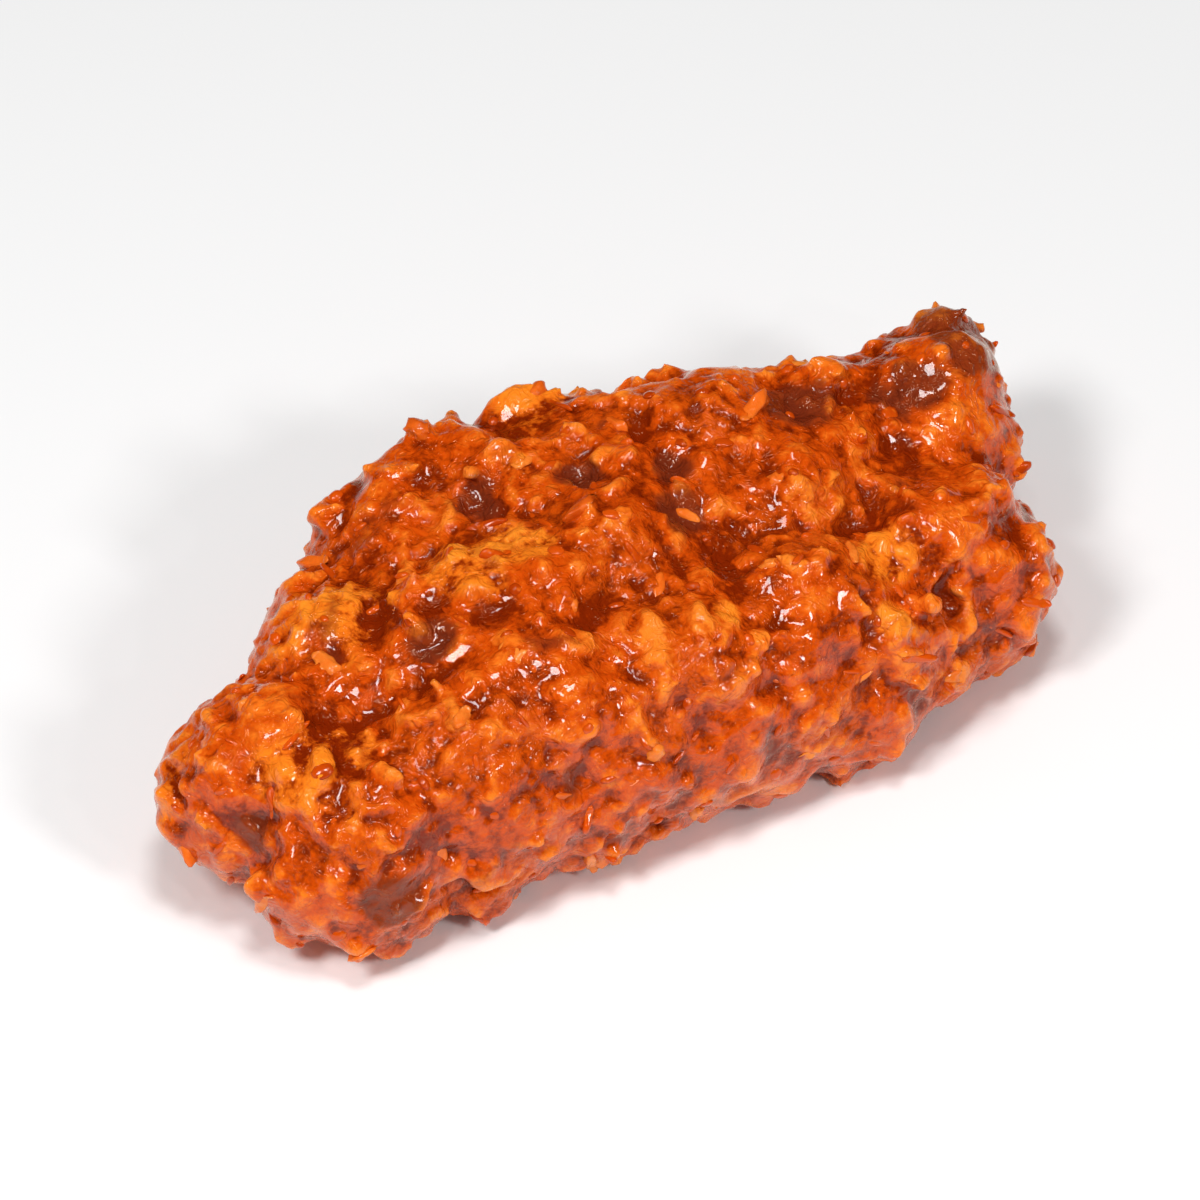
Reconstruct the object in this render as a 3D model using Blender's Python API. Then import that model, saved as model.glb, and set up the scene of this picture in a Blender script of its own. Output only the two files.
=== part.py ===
"""A breaded, sauce-glazed chicken wing flat: the middle joint of a wing, fried whole in its crust.

The wing lies along X with its wrist end at -X and its elbow end at +X. It rests on Z = 0 on the small
flat that its own weight presses into the crust, and the origin is at the bottom centre of its box.
"""

from math import radians
from typing import NamedTuple

import bmesh
import bpy
from mathutils import Matrix, Vector

# Driving sizes of the whole wing, crust included.
LENGTH = 0.096
WIDTH = 0.0485
HEIGHT = 0.0275

# The meat and bones under the crust, as rounded lobes that fuse where they meet.
FUSE_VOXEL = 0.0012
FUSE_SMOOTHING = 7

# The crust: large lumps of batter with smaller crags on top of them.
LUMP_SPACING = 0.0085
LUMP_RELIEF = 0.0034
CRAG_SPACING = 0.0036
CRAG_RELIEF = 0.0017

PRESSED_DEPTH = 0.0024
FACET_COUNT = 8400


class Lobe(NamedTuple):
    """One rounded mass, in shares of the wing's half length, half width and height."""

    along: float
    across: float
    up: float
    half_length: float
    half_width: float
    half_height: float
    turn_deg: float = 0.0
    tilt_deg: float = 0.0


LOBES = (
    # The ulna's side, at the front: the long, straight edge of the flat.
    Lobe(-0.02, -0.46, 0.43, 0.80, 0.50, 0.42, turn_deg=1),
    # The radius's side, at the back: shorter, and riding higher.
    Lobe(0.18, 0.36, 0.52, 0.70, 0.50, 0.40, turn_deg=-5),
    # The meat that joins both bones.
    Lobe(0.02, 0.02, 0.47, 0.70, 0.80, 0.44),
    # The wrist end's two knuckles, the rear one drawn out to the tip.
    Lobe(-0.66, -0.50, 0.35, 0.22, 0.40, 0.33, turn_deg=24),
    Lobe(-0.74, -0.08, 0.40, 0.23, 0.40, 0.33, turn_deg=-12),
    # The elbow end's two knuckles: thicker, and set on a slant.
    Lobe(0.64, -0.38, 0.40, 0.26, 0.48, 0.38, turn_deg=-22),
    Lobe(0.78, 0.22, 0.46, 0.22, 0.46, 0.38, turn_deg=-14),
    # Loose skin that stands out behind the middle of the wing, and thins towards the wrist.
    Lobe(-0.14, 0.70, 0.54, 0.35, 0.34, 0.33, turn_deg=10),
    Lobe(-0.46, 0.28, 0.45, 0.34, 0.38, 0.33, turn_deg=24),
    # Skin that folds over the front edge.
    Lobe(0.30, -0.74, 0.34, 0.32, 0.24, 0.27, turn_deg=-4),
    # Clots of batter: the knob over the elbow and the point past the wrist.
    Lobe(0.95, 0.44, 0.66, 0.06, 0.11, 0.14),
    Lobe(-0.96, -0.06, 0.36, 0.07, 0.12, 0.10, tilt_deg=12),
)


def clear_scene() -> None:
    """Remove every object that the scene starts with."""
    for old in list(bpy.data.objects):
        bpy.data.objects.remove(old, do_unlink=True)


def add_lobe(shape: bmesh.types.BMesh, lobe: Lobe) -> None:
    """Add one lobe to the mesh as a stretched ball, turned about Z and tilted about Y."""
    place = Vector((lobe.along * LENGTH / 2, lobe.across * WIDTH / 2, lobe.up * HEIGHT))
    radii = Vector((lobe.half_length * LENGTH / 2, lobe.half_width * WIDTH / 2, lobe.half_height * HEIGHT))
    turn = Matrix.Rotation(radians(lobe.turn_deg), 4, "Z") @ Matrix.Rotation(radians(lobe.tilt_deg), 4, "Y")
    stretch = Matrix.Diagonal((*radii, 1))
    bmesh.ops.create_icosphere(shape, subdivisions=4, radius=1, matrix=Matrix.Translation(place) @ turn @ stretch)


def lobes_object(name: str) -> bpy.types.Object:
    """Make the object that holds all lobes, still overlapping."""
    shape = bmesh.new()
    for lobe in LOBES:
        add_lobe(shape, lobe)
    mesh = bpy.data.meshes.new(name)
    shape.to_mesh(mesh)
    shape.free()
    body = bpy.data.objects.new(name, mesh)
    bpy.context.scene.collection.objects.link(body)
    return body


def fuse(body: bpy.types.Object) -> None:
    """Join the lobes into one skin and round the valleys between them."""
    skin = body.modifiers.new("fuse", "REMESH")
    skin.mode = "VOXEL"
    skin.voxel_size = FUSE_VOXEL
    rounding = body.modifiers.new("round_valleys", "SMOOTH")
    rounding.factor = 0.8
    rounding.iterations = FUSE_SMOOTHING


def add_relief(body: bpy.types.Object, name: str, spacing: float, relief: float) -> None:
    """Raise rounded lumps of the given spacing and height out of the skin.

    A Voronoi texture's distance is 0 at each cell's middle, so a negative strength makes the middles stand proud.
    """
    cells = bpy.data.textures.new(name, "VORONOI")
    cells.noise_scale = spacing
    cells.distance_metric = "DISTANCE_SQUARED"
    lumps = body.modifiers.new(name, "DISPLACE")
    lumps.texture = cells
    lumps.texture_coords = "LOCAL"
    lumps.strength = -relief
    lumps.mid_level = 0.35


def thin_out(body: bpy.types.Object, source_faces: int) -> None:
    """Reduce the facets to about FACET_COUNT, keeping the crags."""
    fewer = body.modifiers.new("thin_out", "DECIMATE")
    fewer.ratio = FACET_COUNT / source_faces
    fewer.use_collapse_triangulate = True


def evaluated_mesh(body: bpy.types.Object) -> bpy.types.Mesh:
    """Return the object's mesh with its modifiers applied."""
    graph = bpy.context.evaluated_depsgraph_get()
    return bpy.data.meshes.new_from_object(body.evaluated_get(graph))


def settle(mesh: bpy.types.Mesh) -> None:
    """Scale the wing to its driving sizes and centre it over the origin, its underside just below Z = 0."""
    places = [v.co.copy() for v in mesh.vertices]
    low = Vector(min(place[i] for place in places) for i in range(3))
    high = Vector(max(place[i] for place in places) for i in range(3))
    size = high - low
    middle = Vector(((low.x + high.x) / 2, (low.y + high.y) / 2, low.z))
    fit = Matrix.Diagonal((LENGTH / size.x, WIDTH / size.y, (HEIGHT + PRESSED_DEPTH) / size.z, 1))
    drop = Matrix.Translation((0, 0, -PRESSED_DEPTH))
    mesh.transform(drop @ fit @ Matrix.Translation(-middle))


def press_flat(body: bpy.types.Object) -> None:
    """Cut away what lies below Z = 0, where the wing's weight presses its underside flat."""
    slab = bmesh.new()
    size = (2 * LENGTH, 2 * WIDTH, HEIGHT)
    place = Matrix.Translation((0, 0, -HEIGHT / 2)) @ Matrix.Diagonal((*size, 1))
    bmesh.ops.create_cube(slab, size=1, matrix=place)
    mesh = bpy.data.meshes.new("table_slab")
    slab.to_mesh(mesh)
    slab.free()
    table = bpy.data.objects.new("table_slab", mesh)
    table.hide_render = True
    table.display_type = "WIRE"
    bpy.context.scene.collection.objects.link(table)
    cut = body.modifiers.new("press_flat", "BOOLEAN")
    cut.operation = "DIFFERENCE"
    cut.object = table


def crust_material() -> bpy.types.Material:
    """Return the sauce-glazed crust: deep orange red, glossy and not metallic."""
    material = bpy.data.materials.new("sauced_crust")
    material.use_nodes = True
    surface = material.node_tree.nodes["Principled BSDF"]
    surface.inputs["Base Color"].default_value = (0.50, 0.105, 0.016, 1)
    surface.inputs["Roughness"].default_value = 0.3
    surface.inputs["Metallic"].default_value = 0
    return material


def build_wing() -> bpy.types.Object:
    """Model the wing and return its finished object."""
    body = lobes_object("wing")
    fuse(body)
    add_relief(body, "lumps", LUMP_SPACING, LUMP_RELIEF)
    add_relief(body, "crags", CRAG_SPACING, CRAG_RELIEF)
    thin_out(body, 2 * len(evaluated_mesh(body).polygons))
    finished = evaluated_mesh(body)
    settle(finished)
    body.modifiers.clear()
    body.data = finished
    finished.materials.append(crust_material())
    finished.shade_smooth()
    press_flat(body)
    return body


clear_scene()
build_wing()
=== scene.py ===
"""A breaded chicken wing flat in a glossy orange-red sauce.

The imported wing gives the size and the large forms. Around it this script models the fried crust with its
crags and its film of sauce, the crisp crumbs that stick in it, and the beads of sauce on it. Metres, +Z up.
"""

import logging
import math
from dataclasses import dataclass
from enum import Enum
from typing import Optional, Union

import bpy
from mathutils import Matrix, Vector

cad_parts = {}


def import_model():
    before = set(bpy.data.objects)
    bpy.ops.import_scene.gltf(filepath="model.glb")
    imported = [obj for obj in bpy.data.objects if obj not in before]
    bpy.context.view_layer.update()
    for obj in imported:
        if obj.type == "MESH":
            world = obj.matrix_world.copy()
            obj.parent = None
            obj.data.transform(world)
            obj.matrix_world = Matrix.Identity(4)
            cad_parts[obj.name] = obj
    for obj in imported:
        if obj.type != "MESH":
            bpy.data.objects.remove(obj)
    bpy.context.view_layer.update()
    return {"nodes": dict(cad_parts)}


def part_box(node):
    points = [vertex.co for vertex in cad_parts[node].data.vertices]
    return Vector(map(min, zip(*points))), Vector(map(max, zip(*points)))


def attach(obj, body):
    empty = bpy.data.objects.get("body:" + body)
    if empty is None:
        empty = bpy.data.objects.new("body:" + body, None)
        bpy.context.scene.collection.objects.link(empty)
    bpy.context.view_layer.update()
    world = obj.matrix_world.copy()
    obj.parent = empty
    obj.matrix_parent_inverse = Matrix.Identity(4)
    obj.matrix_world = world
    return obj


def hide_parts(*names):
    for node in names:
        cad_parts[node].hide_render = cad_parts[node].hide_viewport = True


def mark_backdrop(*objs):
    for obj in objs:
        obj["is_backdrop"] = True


LOG = logging.getLogger("wing")
MM = 0.001
MOST_TRIANGLES = 195_000
SAME_POINT = 0.001 * MM
# How far off a crest the middle of the noise lies, on average.
MEAN_OFF_CREST = 0.067

Colour = tuple[float, float, float]
Operand = Union[float, "Value"]


class Value:
    """A node's output that takes part in arithmetic: each operator adds one Math node."""

    def __init__(self, nodes: "Nodes", socket: bpy.types.NodeSocket) -> None:
        """Wrap the output `socket` of a node in `nodes`."""
        self.nodes = nodes
        self.socket = socket

    def _math(self, operation: str, first: Operand, second: Operand) -> "Value":
        """Add one Math node.

        Args:
            operation: the Math node's operation.
            first: its first number or value.
            second: its second number or value.

        Returns:
            The node's result.
        """
        return self.nodes.add("ShaderNodeMath", {"operation": operation}, {0: first, 1: second})

    def __add__(self, other: Operand) -> "Value":
        """Return self + other."""
        return self._math("ADD", self, other)

    def __radd__(self, other: Operand) -> "Value":
        """Return other + self."""
        return self._math("ADD", other, self)

    def __sub__(self, other: Operand) -> "Value":
        """Return self - other."""
        return self._math("SUBTRACT", self, other)

    def __rsub__(self, other: Operand) -> "Value":
        """Return other - self."""
        return self._math("SUBTRACT", other, self)

    def __mul__(self, other: Operand) -> "Value":
        """Return self * other."""
        return self._math("MULTIPLY", self, other)

    def __truediv__(self, other: Operand) -> "Value":
        """Return self / other."""
        return self._math("DIVIDE", self, other)


class Nodes:
    """Adds nodes to one shader or geometry tree."""

    def __init__(self, tree: bpy.types.NodeTree) -> None:
        """Work on `tree`."""
        self.tree = tree

    @staticmethod
    def _find(sockets: bpy.types.bpy_prop_collection, key: Union[str, int]) -> bpy.types.NodeSocket:
        """Return the socket with that name, or that number, among those in use."""
        used = [socket for socket in sockets if socket.enabled]
        return used[key] if isinstance(key, int) else next(s for s in used if s.name == key)

    def node(
        self, kind: str, settings: Optional[dict] = None, inputs: Optional[dict] = None
    ) -> bpy.types.Node:
        """Add one node.

        Args:
            kind: the node's type.
            settings: its properties by name, set before its sockets.
            inputs: numbers, colours or values by socket name or number.

        Returns:
            The node.
        """
        node = self.tree.nodes.new(kind)
        for name, setting in (settings or {}).items():
            setattr(node, name, setting)
        for key, given in (inputs or {}).items():
            socket = self._find(node.inputs, key)
            if isinstance(given, Value):
                self.tree.links.new(given.socket, socket)
            else:
                socket.default_value = given
        return node

    def add(
        self,
        kind: str,
        settings: Optional[dict] = None,
        inputs: Optional[dict] = None,
        output: Union[str, int] = 0,
    ) -> Value:
        """Add one node and return one of its outputs.

        Args:
            kind: the node's type.
            settings: its properties by name, set before its sockets.
            inputs: numbers, colours or values by socket name or number.
            output: the name or number of the output.

        Returns:
            That output.
        """
        node = self.node(kind, settings, inputs)
        return Value(self, self._find(node.outputs, output))

    def mask(self, value: Value, low: float, high: float) -> Value:
        """Return 0 where value is under low and 1 where it is over high, with a smooth rise between."""
        settings = {"interpolation_type": "SMOOTHSTEP"}
        inputs = {"Value": value, "From Min": low, "From Max": high}
        return self.add("ShaderNodeMapRange", settings, inputs)

    def blend(self, amount: Operand, under: Union[Colour, Value], over: Union[Colour, Value]) -> Value:
        """Mix two colours.

        Args:
            amount: 0 for the first colour, 1 for the second.
            under: the first colour.
            over: the second colour.

        Returns:
            The mixed colour.
        """
        settings = {"data_type": "RGBA"}
        first, second = (c if isinstance(c, Value) else (*c, 1.0) for c in (under, over))
        return self.add("ShaderNodeMix", settings, {"Factor": amount, "A": first, "B": second}, "Result")

    def noise(self, place: Value, size: float, detail: float = 2.0, **more: float) -> Value:
        """Add cloudy noise.

        Args:
            place: the coordinates that it reads.
            size: the width of its blobs, in metres.
            detail: how many finer layers it has.
            more: other sockets of the node, such as Roughness or Distortion.

        Returns:
            The noise, a number from 0 to 1.
        """
        inputs = {"Vector": place, "Scale": 1 / size, "Detail": detail, **more}
        return self.add("ShaderNodeTexNoise", {"noise_dimensions": "3D"}, inputs, "Fac")

    def off_crest(self, place: Value, size: float, detail: float = 2.0, **more: float) -> Value:
        """Add wandering sharp crests: 0 on a crest, and rising to 0.2 or so away from it."""
        noise = self.noise(place, size, detail, **more)
        return self.add("ShaderNodeMath", {"operation": "ABSOLUTE"}, {0: noise - 0.5})

    def cells(self, place: Value, size: float) -> Value:
        """Add a pattern of soft round cells: the distance to the nearest cell's middle, in cells."""
        inputs = {"Vector": place, "Scale": 1 / size}
        return self.add("ShaderNodeTexVoronoi", {"feature": "SMOOTH_F1"}, inputs, "Distance")


class Hand:
    """What a modeller's hand does: selects, applies modifiers, joins and cleans up."""

    @staticmethod
    def pick(*pieces: bpy.types.Object) -> None:
        """Select only these pieces, the first one active."""
        bpy.ops.object.select_all(action="DESELECT")
        for piece in pieces:
            piece.select_set(True)
        bpy.context.view_layer.objects.active = pieces[0]

    @staticmethod
    def apply(piece: bpy.types.Object, kind: str, **settings: object) -> None:
        """Add one modifier with these settings and apply it."""
        modifier = piece.modifiers.new(kind.lower(), kind)
        for name, setting in settings.items():
            setattr(modifier, name, setting)
        Hand.pick(piece)
        bpy.ops.object.modifier_apply(modifier=modifier.name)

    @staticmethod
    def duplicate(piece: bpy.types.Object, name: str) -> bpy.types.Object:
        """Return a copy of the piece with its own mesh and no parent."""
        copy = bpy.data.objects.new(name, piece.data.copy())
        copy.data.name = name
        bpy.context.scene.collection.objects.link(copy)
        return copy

    @staticmethod
    def join(piece: bpy.types.Object, *others: bpy.types.Object) -> None:
        """Make the others part of the piece."""
        Hand.pick(piece, *others)
        bpy.ops.object.join()

    @staticmethod
    def remesh(piece: bpy.types.Object, voxel: float, rounding: int) -> None:
        """Fuse all that overlaps into one closed skin, and smooth it that many times."""
        Hand.apply(piece, "REMESH", mode="VOXEL", voxel_size=voxel)
        if rounding:
            Hand.apply(piece, "SMOOTH", factor=0.5, iterations=rounding)

    @staticmethod
    def thin(piece: bpy.types.Object, most: int) -> None:
        """Thin the mesh to at most that many triangles, keeping its finest forms."""
        Hand.apply(piece, "TRIANGULATE")
        count = len(piece.data.polygons)
        if count > most:
            Hand.apply(piece, "DECIMATE", ratio=most / count)

    @staticmethod
    def keep_largest(piece: bpy.types.Object) -> None:
        """Remove every loose bit that doesn't hang on to the largest."""
        Hand.pick(piece)
        bpy.ops.object.mode_set(mode="EDIT")
        bpy.ops.mesh.select_all(action="SELECT")
        bpy.ops.mesh.separate(type="LOOSE")
        bpy.ops.object.mode_set(mode="OBJECT")
        parts = sorted(bpy.context.selected_objects, key=lambda part: len(part.data.vertices))
        piece.data = parts[-1].data
        Hand.discard(*(part for part in parts if part is not piece))

    @staticmethod
    def dress(piece: bpy.types.Object, name: str, material: bpy.types.Material) -> None:
        """Name the piece, give it its material, turn all faces outwards and shade them smooth."""
        piece.name = name
        piece.data.name = name
        piece.data.materials.clear()
        piece.data.materials.append(material)
        Hand.pick(piece)
        bpy.ops.object.mode_set(mode="EDIT")
        bpy.ops.mesh.select_all(action="SELECT")
        bpy.ops.mesh.normals_make_consistent(inside=False)
        bpy.ops.object.mode_set(mode="OBJECT")
        bpy.ops.object.shade_smooth()

    @staticmethod
    def discard(*pieces: bpy.types.Object) -> None:
        """Remove helpers."""
        for piece in pieces:
            bpy.data.objects.remove(piece, do_unlink=True)


class GeometryRecipe:
    """A Geometry Nodes tree that is applied to a piece as a modifier."""

    def __init__(self, name: str) -> None:
        """Start a tree with one geometry in and one out."""
        self.tree = bpy.data.node_groups.new(name, "GeometryNodeTree")
        for way in ("INPUT", "OUTPUT"):
            self.tree.interface.new_socket("Geometry", in_out=way, socket_type="NodeSocketGeometry")
        self.nodes = Nodes(self.tree)
        self.source = self.nodes.add("NodeGroupInput")

    def place(self) -> Value:
        """Return each point's position."""
        return self.nodes.add("GeometryNodeInputPosition")

    def normal(self) -> Value:
        """Return each point's normal."""
        return self.nodes.add("GeometryNodeInputNormal")

    def random(self, low: float, high: float, seed: int) -> Value:
        """Return a random number for each element."""
        return self.nodes.add(
            "FunctionNodeRandomValue", {"data_type": "FLOAT"}, {"Min": low, "Max": high, "Seed": seed}
        )

    def random_vector(self, low: Vector, high: Vector, seed: int) -> Value:
        """Return three random numbers for each element."""
        return self.nodes.add(
            "FunctionNodeRandomValue",
            {"data_type": "FLOAT_VECTOR"},
            {"Min": tuple(low), "Max": tuple(high), "Seed": seed},
        )

    def along(self, direction: Value, distance: Value) -> Value:
        """Return the direction times the distance, as an offset."""
        inputs = {0: direction, "Scale": distance}
        return self.nodes.add("ShaderNodeVectorMath", {"operation": "SCALE"}, inputs)

    def store(self, geometry: Value, name: str, value: Value, domain: str = "POINT") -> Value:
        """Keep a number for each element under that name.

        Args:
            geometry: what holds the elements.
            name: the attribute's name.
            value: the number.
            domain: POINT or INSTANCE.

        Returns:
            The geometry with the attribute.
        """
        settings = {"data_type": "FLOAT", "domain": domain}
        inputs = {"Geometry": geometry, "Name": name, "Value": value}
        return self.nodes.add("GeometryNodeStoreNamedAttribute", settings, inputs)

    def move(self, geometry: Value, offset: Value) -> Value:
        """Return the geometry with each point moved by the offset."""
        inputs = {"Geometry": geometry, "Offset": offset}
        return self.nodes.add("GeometryNodeSetPosition", inputs=inputs)

    def run(self, piece: bpy.types.Object, result: Value) -> None:
        """End the tree with this result and apply it to the piece."""
        self.nodes.node("NodeGroupOutput", inputs={"Geometry": result})
        Hand.apply(piece, "NODES", node_group=self.tree)
        bpy.data.node_groups.remove(self.tree)


class Bit(Enum):
    """The kinds of batter bit, by their shape."""

    NODULE = "nodule"
    FLAKE = "flake"
    SLIVER = "sliver"


@dataclass(frozen=True)
class BitShape:
    """One bit of batter at unit length: half its sizes, and how rough and bent it is."""

    kind: Bit
    half_size: tuple[float, float, float]
    roughness: float
    bend_deg: float
    seed: int

    def build(self) -> bpy.types.Object:
        """Model the bit around the origin.

        Returns:
            The bit, a closed mesh.
        """
        bpy.ops.object.select_all(action="DESELECT")
        bpy.ops.mesh.primitive_ico_sphere_add(subdivisions=3, radius=1)
        bit = bpy.context.object
        bit.name = f"{self.kind.value}_{self.seed}"
        bpy.ops.object.mode_set(mode="EDIT")
        bpy.ops.mesh.select_all(action="SELECT")
        bpy.ops.transform.vertex_random(offset=self.roughness, uniform=0.2, normal=0.6, seed=self.seed)
        bpy.ops.mesh.vertices_smooth(factor=0.5, repeat=2)
        bpy.ops.transform.resize(value=self.half_size)
        bpy.ops.object.mode_set(mode="OBJECT")
        bumps = bpy.data.textures.new(bit.name, "CLOUDS")
        bumps.noise_scale = max(self.half_size) * (0.6 + 0.03 * (self.seed % 10))
        Hand.apply(bit, "DISPLACE", texture=bumps, strength=self.roughness, mid_level=0.5)
        if self.bend_deg:
            turn = math.radians(self.bend_deg)
            Hand.apply(bit, "SIMPLE_DEFORM", deform_method="BEND", angle=turn, deform_axis="Y")
        return bit


@dataclass(frozen=True)
class Scatter:
    """How bits are strewn over a surface."""

    name: str
    shapes: tuple[BitShape, ...]
    spacing: float
    smallest: float
    largest: float
    tilt_deg: float
    sink: float
    seed: int
    facets_off: float = 0.0

    def _kinds(self) -> tuple[bpy.types.Collection, list[bpy.types.Object]]:
        """Model each shape once, in a collection that isn't in the scene."""
        kinds = bpy.data.collections.new(self.name)
        bits = [shape.build() for shape in self.shapes]
        for bit in bits:
            if self.facets_off:
                Hand.apply(bit, "DECIMATE", ratio=1 - self.facets_off)
            for home in list(bit.users_collection):
                home.objects.unlink(bit)
            kinds.objects.link(bit)
        return kinds, bits

    def strew(self, surface: bpy.types.Object, keep_surface: bool) -> bpy.types.Object:
        """Strew the bits over a copy of the surface.

        Args:
            surface: the mesh that the bits lie on.
            keep_surface: whether the result holds the surface too.

        Returns:
            A new piece with every bit as real mesh, and each bit's random `tone`.
        """
        kinds, bits = self._kinds()
        recipe = GeometryRecipe(self.name)
        nodes = recipe.nodes
        spread = nodes.node(
            "GeometryNodeDistributePointsOnFaces",
            {"distribute_method": "POISSON"},
            {
                "Mesh": recipe.source,
                "Distance Min": self.spacing,
                "Density Max": 4 / self.spacing**2,
                "Seed": self.seed,
            },
        )
        points, normal, turn = (Value(nodes, spread.outputs[i]) for i in range(3))
        sink = recipe.random(-self.sink, 0, self.seed + 1)
        points = recipe.move(points, recipe.along(normal, sink))
        choice = nodes.add(
            "FunctionNodeRandomValue",
            {"data_type": "INT"},
            {"Min": 0, "Max": len(bits) - 1, "Seed": self.seed + 2},
        )
        picked = nodes.add(
            "GeometryNodeCollectionInfo",
            inputs={"Collection": kinds, "Separate Children": True, "Reset Children": True},
        )
        strewn = nodes.add(
            "GeometryNodeInstanceOnPoints",
            inputs={
                "Points": points,
                "Instance": picked,
                "Pick Instance": True,
                "Instance Index": choice,
                "Rotation": turn,
            },
        )
        tilt = math.radians(self.tilt_deg)
        low, high = Vector((-tilt, -tilt, -math.pi)), Vector((tilt, tilt, math.pi))
        strewn = nodes.add(
            "GeometryNodeRotateInstances",
            inputs={"Instances": strewn, "Rotation": recipe.random_vector(low, high, self.seed + 3)},
        )
        low, high = Vector.Fill(3, self.smallest), Vector.Fill(3, self.largest)
        strewn = nodes.add(
            "GeometryNodeScaleInstances",
            inputs={"Instances": strewn, "Scale": recipe.random_vector(low, high, self.seed + 4)},
        )
        strewn = recipe.store(strewn, "tone", recipe.random(0, 1, self.seed + 5), "INSTANCE")
        strewn = nodes.add("GeometryNodeRealizeInstances", inputs={"Geometry": strewn})
        if keep_surface:
            joined = nodes.node("GeometryNodeJoinGeometry")
            for part in (recipe.source, strewn):
                nodes.tree.links.new(part.socket, joined.inputs[0])
            strewn = Value(nodes, joined.outputs[0])
        piece = Hand.duplicate(surface, self.name)
        recipe.run(piece, strewn)
        Hand.discard(*bits)
        bpy.data.collections.remove(kinds)
        return piece


CLOTS = (
    BitShape(Bit.NODULE, (1.2, 0.9, 0.65), 0.40, 0, 1),
    BitShape(Bit.SLIVER, (2.8, 0.60, 0.55), 0.35, 45, 2),
    BitShape(Bit.FLAKE, (2.2, 1.2, 0.40), 0.45, 60, 3),
    BitShape(Bit.FLAKE, (2.6, 0.9, 0.42), 0.45, -45, 4),
    BitShape(Bit.SLIVER, (2.3, 0.75, 0.50), 0.40, -55, 5),
    BitShape(Bit.FLAKE, (1.8, 1.4, 0.38), 0.50, 40, 9),
)
GRAINS = (
    BitShape(Bit.NODULE, (1.0, 0.8, 0.7), 0.35, 0, 6),
    BitShape(Bit.SLIVER, (2.2, 0.55, 0.55), 0.30, 40, 7),
    BitShape(Bit.SLIVER, (2.8, 0.50, 0.50), 0.30, -50, 8),
)
CRUMBS = (
    BitShape(Bit.SLIVER, (1.5, 0.75, 0.7), 0.45, 35, 11),
    BitShape(Bit.FLAKE, (1.3, 0.90, 0.5), 0.55, 50, 12),
    BitShape(Bit.NODULE, (1.1, 0.85, 0.8), 0.55, 0, 13),
    BitShape(Bit.SLIVER, (1.6, 0.65, 0.6), 0.45, -60, 14),
)
BEADS = (
    BitShape(Bit.NODULE, (1.3, 0.9, 0.5), 0.15, 0, 31),
    BitShape(Bit.NODULE, (1.0, 0.9, 0.45), 0.12, 0, 32),
    BitShape(Bit.SLIVER, (2.4, 0.6, 0.4), 0.20, 40, 33),
)
CLOTS_STREWN = Scatter(
    "clots", CLOTS, spacing=2.5 * MM, smallest=0.6 * MM, largest=1.5 * MM, tilt_deg=10, sink=0.8 * MM,
    seed=20, facets_off=0.5,
)
GRAINS_STREWN = Scatter(
    "grains", GRAINS, spacing=2.3 * MM, smallest=0.3 * MM, largest=0.8 * MM, tilt_deg=15, sink=0.3 * MM,
    seed=40, facets_off=0.7,
)
CRUMBS_STREWN = Scatter(
    "crumbs", CRUMBS, spacing=8.0 * MM, smallest=0.7 * MM, largest=1.4 * MM, tilt_deg=8, sink=0.9 * MM,
    seed=75,
)
BEADS_STREWN = Scatter(
    "beads", BEADS, spacing=4.2 * MM, smallest=0.35 * MM, largest=0.9 * MM, tilt_deg=8, sink=0.25 * MM,
    seed=90, facets_off=0.5,
)


class Tint(Enum):
    """How a patch of crust differs in colour: the value is the name of the attribute that marks it."""

    PLAIN = "plain"
    GOLDEN = "golden"
    # Marks scorched batter, and painted shade in the pits where it lies on dents.
    SCORCHED = "scorched"


@dataclass(frozen=True)
class Finish:
    """What the wing's wet surfaces share: each is a smooth film over something rough."""

    name: str
    deep: Colour
    middle: Colour
    bright: Colour
    coat_roughness: float = 0.045
    coat_ior: float = 1.38
    coat_tint: Colour = (1.0, 0.80, 0.60)
    specular_level: float = 0.22
    specular_tint: Colour = (1.0, 0.78, 0.62)
    subsurface: float = 0.12
    subsurface_radius: Colour = (1.0, 0.35, 0.12)
    subsurface_depth: float = 1.2 * MM

    def _surface(self) -> tuple[bpy.types.Material, Nodes, bpy.types.Node, Value]:
        """Start the material: its tree, its shader and the coordinates that its patterns read."""
        material = bpy.data.materials.new(self.name)
        material.use_nodes = True
        nodes = Nodes(material.node_tree)
        shader = material.node_tree.nodes["Principled BSDF"]
        constants = {
            "Coat Roughness": self.coat_roughness,
            "Coat IOR": self.coat_ior,
            "Coat Tint": (*self.coat_tint, 1.0),
            "Specular IOR Level": self.specular_level,
            "Specular Tint": (*self.specular_tint, 1.0),
            "Subsurface Weight": self.subsurface,
            "Subsurface Radius": self.subsurface_radius,
            "Subsurface Scale": self.subsurface_depth,
        }
        for name, constant in constants.items():
            shader.inputs[name].default_value = constant
        place = nodes.add("ShaderNodeTexCoord", output="Object")
        return material, nodes, shader, place

    @staticmethod
    def _mark(nodes: Nodes, name: str) -> Value:
        """Return the number that the mesh keeps under that name."""
        return nodes.add("ShaderNodeAttribute", {"attribute_name": name}, output="Fac")

    @staticmethod
    def _bump(nodes: Nodes, height: Value, strength: float, depth: float) -> Value:
        """Return normals that follow the height, which is that deep."""
        inputs = {"Height": height, "Strength": strength, "Distance": depth}
        return nodes.add("ShaderNodeBump", inputs=inputs)

    @staticmethod
    def _link(shader: bpy.types.Node, nodes: Nodes, **sockets: Value) -> None:
        """Feed the shader's sockets, named with _ for a space."""
        for name, value in sockets.items():
            nodes.tree.links.new(value.socket, shader.inputs[name.replace("_", " ")])


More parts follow.
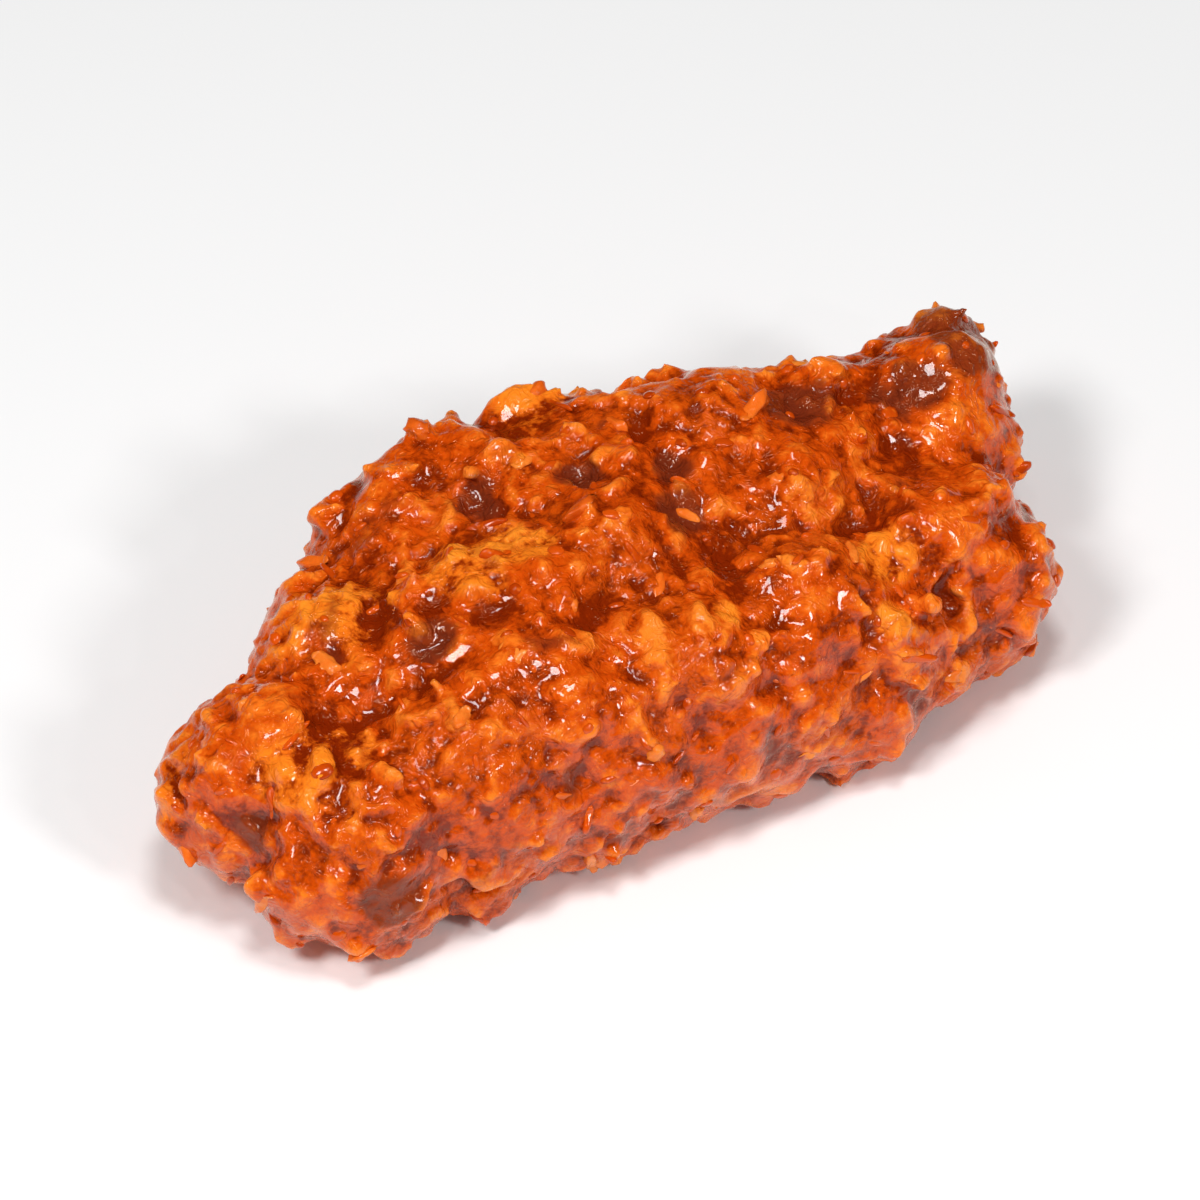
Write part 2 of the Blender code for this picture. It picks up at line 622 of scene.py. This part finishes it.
@dataclass(frozen=True)
class SaucedCrust(Finish):
    """Fried crust under sauce: brown in the pits and orange on the crests, partly as painted shade and
    painted light, and golden where the sauce is thin.
    """

    golden: Colour = (1.0, 0.30, 0.022)
    # The dark brown of scorched batter, also used as painted shade in the pits.
    scorched: Colour = (0.17, 0.030, 0.012)
    grain_size: float = 1.6 * MM
    speck_size: float = 0.5 * MM
    shade_size: float = 6 * MM
    golden_size: float = 8 * MM
    burnt_size: float = 7 * MM
    dry_size: float = 3 * MM
    crest_size: float = 1.3 * MM
    bead_size: float = 1.1 * MM
    bump_depth: float = 0.26 * MM

    def build(self) -> bpy.types.Material:
        """Return the material."""
        material, nodes, shader, place = self._surface()
        relief, tone, wet = (self._mark(nodes, name) for name in ("relief", "tone", "wet"))
        golden, scorched = (self._mark(nodes, tint.value) for tint in (Tint.GOLDEN, Tint.SCORCHED))
        # How light the crust is: painted light on crests and painted shade in the pits, with the sauce
        # lying deeper there; lighter on some bits, and darker under the sauce.
        grain = nodes.noise(place, self.grain_size, 5, Roughness=0.65) - 0.5
        specks = nodes.noise(place, self.speck_size, 2) - 0.5
        shade = nodes.noise(place, self.shade_size, 3) - 0.5
        level = relief * 0.45 + tone * 0.35 + grain * 1.5 + specks * 0.6 + shade * 1.2 - wet * 0.10 + 0.10
        colour = nodes.blend(nodes.mask(level, -0.35, 0.25), self.deep, self.middle)
        colour = nodes.blend(nodes.mask(level, 0.15, 0.95), colour, self.bright)
        # Golden where the sauce is thin; dark brown where the batter is scorched and, as painted shade, in
        # the pits, with less of it on the crests.
        clouds = nodes.noise(place, self.golden_size, 3, Distortion=0.6) + golden * 0.55 - scorched * 0.3
        thin_sauce = nodes.mask(clouds, 0.60, 0.78) * nodes.mask(level, -0.25, 0.4)
        colour = nodes.blend(thin_sauce * 0.9, colour, self.golden)
        burnt_and_pit_shade = nodes.noise(place, self.burnt_size, 3, Distortion=0.8) + scorched * 0.5
        burnt_and_pit_shade = nodes.mask(burnt_and_pit_shade, 0.60, 0.80) * (1 - nodes.mask(level, 0.3, 1.1) * 0.45)
        colour = nodes.blend(burnt_and_pit_shade * 0.8, colour, self.scorched)
        # Fine crests and beads, glossier where it is wet.
        dry = nodes.mask(nodes.noise(place, self.dry_size, 3), 0.45, 0.65)
        crests = nodes.off_crest(place, self.crest_size, 2, Distortion=0.8)
        height = crests * -4.0 - nodes.cells(place, self.bead_size) * 0.3
        self._link(
            shader,
            nodes,
            Base_Color=colour,
            Roughness=dry * (1 - wet * 0.8) * 0.28 + 0.07,
            Coat_Weight=wet * 0.5 + 0.3,
            Normal=self._bump(nodes, height, 0.7, self.bump_depth),
        )
        return material


@dataclass(frozen=True)
class CrispCrumb(Finish):
    """A crisp crumb of batter, golden orange through a thin film of sauce."""

    grain_size: float = 1.3 * MM
    fine_size: float = 0.4 * MM
    bump_depth: float = 0.16 * MM

    def build(self) -> bpy.types.Material:
        """Return the material."""
        material, nodes, shader, place = self._surface()
        grain = nodes.noise(place, self.grain_size, 3)
        level = self._mark(nodes, "tone") * 0.8 + grain * 0.8 - 0.4
        colour = nodes.blend(nodes.mask(level, -0.1, 0.35), self.deep, self.middle)
        colour = nodes.blend(nodes.mask(level, 0.35, 0.9), colour, self.bright)
        fine = nodes.noise(place, self.fine_size, 3)
        self._link(
            shader,
            nodes,
            Base_Color=colour,
            Roughness=grain * 0.3 + 0.12,
            Coat_Weight=grain + 0.2,
            Normal=self._bump(nodes, fine, 0.5, self.bump_depth),
        )
        return material


@dataclass(frozen=True)
class WetSauce(Finish):
    """A bead of sauce: smooth and very glossy, with paler specks."""

    cloud_size: float = 6 * MM
    speck_size: float = 0.8 * MM
    ripple_size: float = 0.9 * MM
    bump_depth: float = 0.25 * MM

    def build(self) -> bpy.types.Material:
        """Return the material."""
        material, nodes, shader, place = self._surface()
        clouds = nodes.noise(place, self.cloud_size, 3, Distortion=0.5)
        specks = nodes.mask(nodes.noise(place, self.speck_size, 2), 0.6, 0.72)
        colour = nodes.blend(nodes.mask(clouds, 0.35, 0.6), self.deep, self.middle)
        colour = nodes.blend(specks * 0.5, colour, self.bright)
        ripple = nodes.noise(place, self.ripple_size, 3)
        self._link(
            shader,
            nodes,
            Base_Color=colour,
            Roughness=ripple * 0.25 + 0.08,
            Coat_Weight=1 - specks * 0.4,
            Normal=self._bump(nodes, ripple, 0.5, self.bump_depth),
        )
        return material


@dataclass(frozen=True)
class Matte:
    """A plain pale studio surface."""

    name: str
    colour: Colour
    roughness: float = 0.6

    def build(self) -> bpy.types.Material:
        """Return the material."""
        material = bpy.data.materials.new(self.name)
        material.use_nodes = True
        shader = material.node_tree.nodes["Principled BSDF"]
        shader.inputs["Base Color"].default_value = (*self.colour, 1.0)
        shader.inputs["Roughness"].default_value = self.roughness
        return material


SAUCED_CRUST = SaucedCrust(
    "sauced_crust", deep=(0.22, 0.020, 0.001), middle=(0.66, 0.088, 0.003), bright=(0.96, 0.25, 0.022)
)
CRISP_CRUMB = CrispCrumb(
    "crisp_crumb", deep=(0.55, 0.075, 0.004), middle=(0.84, 0.17, 0.014), bright=(0.95, 0.32, 0.05)
)
SAUCE_GLAZE = WetSauce(
    "sauce_glaze", deep=(0.46, 0.055, 0.002), middle=(0.70, 0.105, 0.004), bright=(0.90, 0.20, 0.015)
)


@dataclass(frozen=True)
class Patch:
    """A hump or a dent in the crust.

    Its place is in shares of the wing's half length, half width and height, and push is how far it
    stands out.
    """

    along: float
    across: float
    up: float
    radius: float
    push: float
    tint: Tint = Tint.PLAIN

    def weight(self, recipe: GeometryRecipe, low: Vector, high: Vector) -> Value:
        """Return 1 in the patch's middle and 0 past its radius.

        Args:
            recipe: the tree that reads it.
            low: the wing's lowest corner.
            high: the wing's highest corner.

        Returns:
            The weight of each point.
        """
        middle, half = (low + high) / 2, (high - low) / 2
        place = (
            middle.x + self.along * half.x,
            middle.y + self.across * half.y,
            low.z + self.up * 2 * half.z,
        )
        distance = recipe.nodes.add(
            "ShaderNodeVectorMath", {"operation": "DISTANCE"}, {0: recipe.place(), 1: place}, "Value"
        )
        return recipe.nodes.mask(distance, self.radius, 0.0)


PATCHES = (
    # The golden ridge that runs from the wrist over the middle.
    Patch(-0.47, 0.15, 0.79, 7.0 * MM, 0.5 * MM, Tint.GOLDEN),
    Patch(-0.30, 0.06, 0.91, 6.5 * MM, 0.5 * MM, Tint.GOLDEN),
    Patch(-0.16, 0.01, 0.89, 5.0 * MM, 0.4 * MM, Tint.GOLDEN),
    # The loose skin at the back, and the knuckle at the wrist.
    Patch(0.08, 0.76, 0.80, 8.5 * MM, 1.2 * MM, Tint.GOLDEN),
    Patch(-0.78, -0.40, 0.67, 5.5 * MM, 0.6 * MM, Tint.GOLDEN),
    Patch(-0.66, -0.39, 0.71, 5.0 * MM, 0.4 * MM, Tint.GOLDEN),
    # The skin that bridges the wrist's two knuckles.
    Patch(-0.88, -0.58, 0.34, 6.5 * MM, 0.7 * MM),
    # The side between the wrist and the middle, filled out.
    Patch(-0.50, -0.80, 0.10, 8.5 * MM, 3.2 * MM),
    # The bulge over the elbow's side, and the curled lump in front of it.
    Patch(0.49, -0.09, 0.81, 8.0 * MM, 1.2 * MM),
    Patch(0.49, -0.55, 0.71, 5.0 * MM, 0.5 * MM, Tint.GOLDEN),
    Patch(0.12, -0.62, 0.84, 3.0 * MM, 0.6 * MM, Tint.GOLDEN),
    Patch(0.28, -0.13, 0.86, 5.0 * MM, 0.4 * MM),
    Patch(0.44, -0.79, 0.63, 3.2 * MM, 1.0 * MM, Tint.GOLDEN),
    # The valley between the two bones, with its pits, given painted shade as dark brown.
    Patch(-0.16, 0.33, 0.89, 3.6 * MM, -1.9 * MM, Tint.SCORCHED),
    Patch(0.04, 0.22, 0.92, 3.6 * MM, -2.2 * MM, Tint.SCORCHED),
    Patch(0.21, 0.08, 0.90, 3.4 * MM, -2.2 * MM, Tint.SCORCHED),
    Patch(0.17, -0.13, 0.90, 4.2 * MM, -1.8 * MM, Tint.SCORCHED),
    Patch(0.50, 0.16, 0.89, 5.5 * MM, -1.0 * MM, Tint.SCORCHED),
    Patch(0.74, 0.08, 0.86, 5.0 * MM, -1.4 * MM, Tint.SCORCHED),
    # Single pits and dents, dark brown partly as scorched batter and partly as painted shade.
    Patch(0.58, -0.75, 0.57, 3.2 * MM, -2.6 * MM, Tint.SCORCHED),
    Patch(-0.41, -0.22, 0.85, 4.0 * MM, -1.0 * MM, Tint.SCORCHED),
    Patch(-0.28, -0.88, 0.56, 3.6 * MM, -1.4 * MM, Tint.SCORCHED),
    Patch(-0.86, -0.38, 0.47, 3.6 * MM, -0.6 * MM, Tint.SCORCHED),
    Patch(-0.70, -0.90, 0.38, 4.6 * MM, -0.5 * MM, Tint.SCORCHED),
    # The knob of batter over the elbow.
    Patch(0.93, 0.24, 0.80, 7.5 * MM, 0.8 * MM, Tint.SCORCHED),
    Patch(0.90, 0.20, 0.88, 7.0 * MM, 0.2 * MM, Tint.SCORCHED),
)


@dataclass(frozen=True)
class Clot:
    """A lump or a fold of crust at its own place, given as a Patch's is, with its turns in degrees."""

    along: float
    across: float
    up: float
    shape: BitShape
    turns: tuple[float, float, float] = (0.0, 0.0, 0.0)

    def build(self, low: Vector, high: Vector) -> bpy.types.Object:
        """Model the clot in its place between the wing's lowest and highest corners."""
        clot = self.shape.build()
        middle, half = (low + high) / 2, (high - low) / 2
        clot.rotation_euler = [math.radians(turn) for turn in self.turns]
        clot.location = (
            middle.x + self.along * half.x,
            middle.y + self.across * half.y,
            low.z + self.up * 2 * half.z,
        )
        Hand.pick(clot)
        bpy.ops.object.transform_apply()
        return clot


CLOTS_IN_PLACE = (
    # The knob over the elbow.
    Clot(
        0.88, 0.18, 0.76,
        BitShape(Bit.NODULE, (3.4 * MM, 2.8 * MM, 3.2 * MM), 0.8 * MM, 0, 21),
    ),
    Clot(
        0.90, 0.36, 0.74,
        BitShape(Bit.NODULE, (2.8 * MM, 3.0 * MM, 3.2 * MM), 0.8 * MM, 0, 22),
    ),
    # The loose skin at the back, which leans forwards.
    Clot(
        0.06, 0.68, 0.82,
        BitShape(Bit.FLAKE, (5.5 * MM, 3.6 * MM, 1.0 * MM), 0.7 * MM, 25, 28),
        (38, -12, -20),
    ),
    # Folds of skin under the wrist, one over the other.
    Clot(
        -0.70, -0.78, 0.26,
        BitShape(Bit.FLAKE, (5.0 * MM, 2.2 * MM, 0.70 * MM), 0.5 * MM, 20, 23),
        (62, 8, -14),
    ),
    Clot(
        -0.58, -0.82, 0.38,
        BitShape(Bit.FLAKE, (5.0 * MM, 2.0 * MM, 0.65 * MM), 0.5 * MM, 25, 24),
        (68, -6, 4),
    ),
    Clot(
        -0.84, -0.60, 0.36,
        BitShape(Bit.FLAKE, (4.0 * MM, 2.0 * MM, 0.70 * MM), 0.5 * MM, 20, 25),
        (58, 4, -36),
    ),
    Clot(
        -0.44, -0.86, 0.30,
        BitShape(Bit.FLAKE, (4.5 * MM, 1.8 * MM, 0.65 * MM), 0.5 * MM, 30, 26),
        (66, 4, 6),
    ),
    # The curled lump in front of the elbow.
    Clot(
        0.46, -0.80, 0.60,
        BitShape(Bit.SLIVER, (3.6 * MM, 1.5 * MM, 1.4 * MM), 0.6 * MM, 80, 27),
        (30, -20, 30),
    ),
)


@dataclass
class Crust:
    """The fried crust: the wing's body with fused bits of batter all over it."""

    node: str = "wing"
    name: str = "wing_crust"
    core_voxel: float = 0.9 * MM
    core_rounding: int = 6
    pull_in: float = 0.3 * MM
    voxel: float = 0.33 * MM
    fold_size: float = 3.6 * MM
    fold_height: float = 3.0 * MM
    crest_size: float = 3.4 * MM
    crest_height: float = 3.8 * MM
    calm_crest_height: float = 0.8 * MM
    craggy_area: float = 8 * MM
    film_voxel: float = 0.45 * MM
    film_rounding: int = 9
    film_area: float = 9 * MM
    film_level: float = -0.05 * MM
    film_unevenness: float = 2.6 * MM
    film_edge: tuple[float, float] = (0.04 * MM, 0.30 * MM)
    relief_reach: int = 40
    relief_height: float = 0.6 * MM

    def _core(self, wing: bpy.types.Object) -> bpy.types.Object:
        """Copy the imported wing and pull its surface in, to leave room for the bits."""
        core = Hand.duplicate(wing, "core")
        Hand.pick(core)
        bpy.ops.object.mode_set(mode="EDIT")
        bpy.ops.mesh.select_all(action="SELECT")
        bpy.ops.mesh.remove_doubles(threshold=SAME_POINT)
        bpy.ops.object.mode_set(mode="OBJECT")
        Hand.remesh(core, self.core_voxel, self.core_rounding)
        recipe = GeometryRecipe("pull_in")
        low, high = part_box(self.node)
        push = sum(patch.weight(recipe, low, high) * patch.push for patch in PATCHES) - self.pull_in
        recipe.run(core, recipe.move(recipe.source, recipe.along(recipe.normal(), push)))
        return core

    def _rough(self, crust: bpy.types.Object) -> None:
        """Wrinkle the fused skin with small folds, and with crests that are higher in craggy areas."""
        recipe = GeometryRecipe("wrinkle")
        place = recipe.place()
        folds = recipe.nodes.noise(place, self.fold_size, 3, Distortion=1.4) - 0.5
        crests = MEAN_OFF_CREST - recipe.nodes.off_crest(place, self.crest_size, 2, Distortion=1.2)
        craggy = recipe.nodes.mask(recipe.nodes.noise(place, self.craggy_area, 2), 0.42, 0.62)
        crest_height = craggy * self.crest_height + self.calm_crest_height
        height = folds * self.fold_height + crests * crest_height
        recipe.run(crust, recipe.move(recipe.source, recipe.along(recipe.normal(), height)))

    def _film(self, body: bpy.types.Object) -> bpy.types.Object:
        """Model the sauce's own surface: a smoother skin, above the valleys and below the crests."""
        film = Hand.duplicate(body, "film")
        Hand.remesh(film, self.film_voxel, self.film_rounding)
        recipe = GeometryRecipe("fill")
        wetness = recipe.nodes.noise(recipe.place(), self.film_area, 2) - 0.5
        level = wetness * self.film_unevenness + self.film_level
        recipe.run(film, recipe.move(recipe.source, recipe.along(recipe.normal(), level)))
        return film

    def _measure(self, crust: bpy.types.Object, bits: bpy.types.Object, film: bpy.types.Object) -> None:
        """Store what the finish reads at each point.

        Args:
            crust: the piece that is marked: with `relief`, its height over its surroundings, `wet`, 1
                under the sauce and 0 on what stands out of it, `tone`, its bit's own shade, and the
                patches' tints.
            bits: the strewn bits, which hold the tones.
            film: the sauce's own surface.
        """
        recipe = GeometryRecipe("measure")
        nodes = recipe.nodes
        place = recipe.place()
        settings = {"data_type": "FLOAT_VECTOR"}
        inputs = {"Value": place, "Iterations": self.relief_reach}
        around = nodes.add("GeometryNodeBlurAttribute", settings, inputs)
        rise = nodes.add("ShaderNodeVectorMath", {"operation": "SUBTRACT"}, {0: place, 1: around})
        height = nodes.add(
            "ShaderNodeVectorMath", {"operation": "DOT_PRODUCT"}, {0: rise, 1: recipe.normal()}, "Value"
        )
        marked = recipe.store(recipe.source, "relief", height / self.relief_height)
        low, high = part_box(self.node)
        for tint in (Tint.GOLDEN, Tint.SCORCHED):
            patches = (patch for patch in PATCHES if patch.tint is tint)
            marked = recipe.store(marked, tint.value, sum(p.weight(recipe, low, high) for p in patches))
        surface = nodes.add("GeometryNodeObjectInfo", inputs={"Object": film}, output="Geometry")
        above = nodes.add("GeometryNodeProximity", {"target_element": "FACES"}, {0: surface}, "Distance")
        marked = recipe.store(marked, "wet", 1 - nodes.mask(above, *self.film_edge))
        other = nodes.add("GeometryNodeObjectInfo", inputs={"Object": bits}, output="Geometry")
        tone = nodes.add("GeometryNodeInputNamedAttribute", {"data_type": "FLOAT"}, {"Name": "tone"})
        nearest = nodes.add(
            "GeometryNodeSampleNearestSurface",
            {"data_type": "FLOAT"},
            {"Mesh": other, "Value": tone, "Sample Position": place},
        )
        recipe.run(crust, recipe.store(marked, "tone", nearest))

    def build(self, wing: bpy.types.Object, finish: SaucedCrust) -> bpy.types.Object:
        """Model and dress the crust.

        Args:
            wing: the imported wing.
            finish: its material.

        Returns:
            The finished crust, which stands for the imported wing.
        """
        core = self._core(wing)
        crust = CLOTS_STREWN.strew(core, keep_surface=True)
        grains = GRAINS_STREWN.strew(core, keep_surface=False)
        bits = Hand.duplicate(crust, "bits")
        placed = [clot.build(*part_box(self.node)) for clot in CLOTS_IN_PLACE]
        Hand.join(crust, grains, *placed)
        Hand.remesh(crust, self.voxel, 1)
        self._rough(crust)
        film = self._film(crust)
        Hand.join(crust, Hand.duplicate(film, "film_copy"))
        Hand.remesh(crust, self.voxel, 2)
        Hand.keep_largest(crust)
        Hand.thin(crust, MOST_TRIANGLES)
        self._measure(crust, bits, film)
        Hand.discard(core, bits, film)
        Settle(*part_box(self.node)).fit(crust)
        Hand.dress(crust, self.name, finish.build())
        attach(crust, "root")
        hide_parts(self.node)
        return crust


@dataclass
class Settle:
    """Keeps a piece inside the wing's box, and flat where it rests."""

    low: Vector
    high: Vector

    def fit(self, piece: bpy.types.Object) -> None:
        """Scale the piece's outline to the box and press flat what lies below it."""
        points = [corner.co for corner in piece.data.vertices]
        low = Vector(min(point[i] for point in points) for i in range(3))
        high = Vector(max(point[i] for point in points) for i in range(3))
        for corner in piece.data.vertices:
            for i in range(2):
                share = (corner.co[i] - low[i]) / (high[i] - low[i])
                corner.co[i] = self.low[i] + share * (self.high[i] - self.low[i])
            corner.co.z = min(max(corner.co.z, self.low.z), self.high.z + 0.2 * MM)
        piece.data.update()

    def press(self, piece: bpy.types.Object) -> None:
        """Press flat what lies outside the box."""
        for corner in piece.data.vertices:
            for i in range(3):
                corner.co[i] = min(max(corner.co[i], self.low[i]), self.high[i])
        piece.data.update()


@dataclass(frozen=True)
class Topping:
    """Small pieces that are strewn over the crust."""

    name: str
    scatter: Scatter

    def build(self, crust: bpy.types.Object, finish: Union[CrispCrumb, WetSauce]) -> bpy.types.Object:
        """Model and dress the pieces.

        Args:
            crust: what they stick in.
            finish: their material.

        Returns:
            The finished pieces, as one mesh.
        """
        topping = self.scatter.strew(crust, keep_surface=False)
        Settle(*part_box("wing")).press(topping)
        Hand.thin(topping, MOST_TRIANGLES)
        Hand.dress(topping, self.name, finish.build())
        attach(topping, "root")
        return topping


CRISP_CRUMBS = Topping("crisp_crumbs", CRUMBS_STREWN)
SAUCE_BEADS = Topping("sauce_beads", BEADS_STREWN)


@dataclass(frozen=True)
class Lamp:
    """A square lamp: where it stands round the wing, the side of its face in metres, and its watts."""

    name: str
    azimuth_deg: float
    elevation_deg: float
    size: float
    power: float


# Three soft lamps light the crust, and two small ones make the fine glints.
LAMPS = (
    Lamp("key", azimuth_deg=-72, elevation_deg=54, size=0.16, power=2.3),
    Lamp("right_key", azimuth_deg=18, elevation_deg=38, size=0.11, power=1.4),
    Lamp("top_key", azimuth_deg=-20, elevation_deg=80, size=0.13, power=1.5),
    Lamp("left_sparkle", azimuth_deg=-40, elevation_deg=66, size=0.02, power=0.13),
    Lamp("right_sparkle", azimuth_deg=0, elevation_deg=40, size=0.02, power=0.12),
)


@dataclass
class Studio:
    """The floor, the lights and the camera."""

    azimuth_deg: float = -30.0
    elevation_deg: float = 45.0
    distance: float = 0.75
    view_width: float = 0.112
    sensor: float = 36.0
    lamp_distance: float = 0.7
    surroundings: float = 0.20
    floor_size: float = 4.0

    def floor(self) -> bpy.types.Object:
        """Lay the pale floor."""
        bpy.ops.object.select_all(action="DESELECT")
        bpy.ops.mesh.primitive_plane_add(size=self.floor_size)
        floor = bpy.context.object
        floor.name = "floor"
        floor.data.materials.append(Matte("pale_floor", (0.97, 0.97, 0.97)).build())
        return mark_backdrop(floor)

    @staticmethod
    def _aim(
        item: bpy.types.Object, azimuth_deg: float, elevation_deg: float, distance: float, target: Vector
    ) -> None:
        """Put an item round the target, pointing at it."""
        turn, rise = math.radians(azimuth_deg), math.radians(elevation_deg)
        back = Vector((math.sin(turn) * math.cos(rise), -math.cos(turn) * math.cos(rise), math.sin(rise)))
        item.location = target + back * distance
        item.rotation_euler = back.to_track_quat("Z", "Y").to_euler()

    def camera(self, target: Vector) -> None:
        """Set up the camera."""
        data = bpy.data.cameras.new("camera")
        data.sensor_width = self.sensor
        data.lens = self.sensor * self.distance / self.view_width
        data.clip_start = 0.05
        data.clip_end = 20
        camera = bpy.data.objects.new("camera", data)
        bpy.context.scene.collection.objects.link(camera)
        self._aim(camera, self.azimuth_deg, self.elevation_deg, self.distance, target)
        bpy.context.scene.camera = camera

    def light(self, target: Vector) -> None:
        """Hang the lamps and set the pale surroundings."""
        for lamp in LAMPS:
            data = bpy.data.lights.new(lamp.name, "AREA")
            data.shape = "SQUARE"
            data.size = lamp.size
            data.energy = lamp.power
            hung = bpy.data.objects.new(lamp.name, data)
            bpy.context.scene.collection.objects.link(hung)
            self._aim(hung, lamp.azimuth_deg, lamp.elevation_deg, self.lamp_distance, target)
        world = bpy.data.worlds.new("surroundings")
        world.use_nodes = True
        background = world.node_tree.nodes["Background"]
        background.inputs["Color"].default_value = (1.0, 1.0, 1.0, 1.0)
        background.inputs["Strength"].default_value = self.surroundings
        world.cycles_visibility.glossy = False
        bpy.context.scene.world = world
        bpy.context.scene.view_settings.view_transform = "Standard"


def report(piece: bpy.types.Object) -> None:
    """Log a piece's name, triangles and size."""
    size = " x ".join(f"{side / MM:.1f}" for side in piece.dimensions)
    LOG.info("%s: %d triangles, %s mm", piece.name, len(piece.data.polygons), size)


def main() -> None:
    """Build the wing's visible pieces in order, then the studio."""
    logging.basicConfig(level=logging.INFO, format="%(name)s %(message)s")
    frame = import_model()
    crust = Crust().build(frame["nodes"]["wing"], SAUCED_CRUST)
    report(crust)
    report(CRISP_CRUMBS.build(crust, CRISP_CRUMB))
    report(SAUCE_BEADS.build(crust, SAUCE_GLAZE))
    low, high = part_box("wing")
    target = (low + high) / 2
    studio = Studio()
    studio.floor()
    studio.camera(target)
    studio.light(target)


if __name__ == "__main__":
    main()
